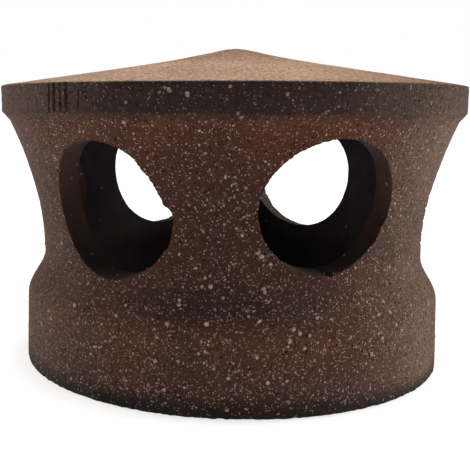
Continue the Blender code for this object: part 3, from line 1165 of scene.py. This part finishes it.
for face in grainForm.faces:
    face.material_index = 0
grainForm.to_mesh(strewnMesh)
grainForm.free()
strewnMesh.shade_smooth()
grogGrains.data = strewnMesh
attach(grogGrains, "root")
print("grog set:", len(strewnMesh.polygons), "faces")

studio = {
    "floorSize": 60.0,
    "floorTone": (0.30, 0.30, 0.30),
    "floorFaint": 0.99,      # how dark the floor's faint clouds are beside the rest
    "floorGlow": 0.74,       # a light table, so that hardly any shadow shows
    "glowStart": (0.074, 0.086),
    "world": 0.22,
    "topStrength": 3.3,
    "topSpread": 14,         # degrees
    "sidePower": 8.8,
    "rightShare": 2.0,       # how much stronger the right light is than the left one
    "sideTone": (1.0, 0.88, 0.76),
    "sideSize": 0.7,
    "leftPlace": (-1.1, 0.25, 0.45),
    "rightPlace": (1.1, 0.15, 0.45),
    "sideTarget": (0, 0, 0.06),
    "frontPower": 0.5,
    "frontSize": 0.9,
    "frontPlace": (0.2, -1.3, 0.7),
    "frontTarget": (0, 0, 0.07),
}


def makeFloor():
    half = studio["floorSize"] / 2
    corners = [(-half, -half, 0), (half, -half, 0), (half, half, 0), (-half, half, 0)]
    mesh = bpy.data.meshes.new("floor")
    mesh.from_pydata(corners, [], [(0, 1, 2, 3)])
    floor = newPiece("floor", mesh)
    finish, tree, shader, place = newFinish("paleFloor", 0.9, 0.2)
    tone = studio["floorTone"]
    faint = [part * studio["floorFaint"] for part in tone]
    pale = mixTones(tree, clouded(tree, place, "floor"), (*tone, 1), (*faint, 1))
    tree.links.new(pale, shader.inputs["Base Color"])
    # the table is dark where the lantern stands on it
    radius = useGroup(tree, turnedPlace, {"Place": place})["Radius"]
    glow = mixTones(tree, ease(tree, radius, *studio["glowStart"]), (0, 0, 0, 1), (1, 1, 1, 1))
    tree.links.new(glow, shader.inputs["Emission Color"])
    shader.inputs["Emission Strength"].default_value = studio["floorGlow"]
    mesh.materials.append(finish)


def softLight(name, place, target, size, power, tone=(1, 1, 1)):
    lamp = bpy.data.lights.new(name, "AREA")
    lamp.color = tone
    lamp.shape = "DISK"
    lamp.size = size
    lamp.energy = power
    light = bpy.data.objects.new(name, lamp)
    light.location = place
    light.rotation_euler = (Vector(target) - Vector(place)).to_track_quat("-Z", "Y").to_euler()
    bpy.context.collection.objects.link(light)


makeFloor()
topLamp = bpy.data.lights.new("topLight", "SUN")
topLamp.energy = studio["topStrength"]
topLamp.angle = math.radians(studio["topSpread"])
bpy.context.collection.objects.link(bpy.data.objects.new("topLight", topLamp))
softLight("leftLight", studio["leftPlace"], studio["sideTarget"], studio["sideSize"],
          studio["sidePower"], studio["sideTone"])
softLight("rightLight", studio["rightPlace"], studio["sideTarget"], studio["sideSize"],
          studio["sidePower"] * studio["rightShare"], studio["sideTone"])
softLight("frontLight", studio["frontPlace"], studio["frontTarget"], studio["frontSize"],
          studio["frontPower"])

world = bpy.data.worlds.new("paleRoom")
world.use_nodes = True
bpy.context.scene.world = world
sky = world.node_tree.nodes["Background"]
sky.inputs["Color"].default_value = (1, 1, 1, 1)
seen = put(world.node_tree, "ShaderNodeLightPath").outputs["Is Camera Ray"]
strength = stretch(world.node_tree, seen, studio["world"], 1.0)
world.node_tree.links.new(strength, sky.inputs["Strength"])

# The camera stands level with the rim, close in front
viewpoint = {
    "place": (0.00187, -0.36106, 0.10799),
    "turn": 0.014,           # degrees, as are the next two
    "down": 8.87,
    "roll": 1.764,
    "focal": 819.7,          # in pixels of a 470 pixel wide picture
    "picture": 470,
    "sensor": 36,
    "nearest": 0.01,
}
cameraData = bpy.data.cameras.new("camera")
cameraData.sensor_width = viewpoint["sensor"]
cameraData.lens = viewpoint["sensor"] * viewpoint["focal"] / viewpoint["picture"]
cameraData.clip_start = viewpoint["nearest"]
camera = bpy.data.objects.new("camera", cameraData)
aim = Matrix.Rotation(math.radians(viewpoint["turn"]), 3, "Z")
aim = aim @ Matrix.Rotation(math.radians(90 - viewpoint["down"]), 3, "X")
aim = aim @ Matrix.Rotation(math.radians(viewpoint["roll"]), 3, "Z")
camera.location = viewpoint["place"]
camera.rotation_euler = aim.to_euler()
bpy.context.collection.objects.link(camera)
bpy.context.scene.camera = camera
bpy.context.scene.view_settings.view_transform = "Standard"
print("studio set")
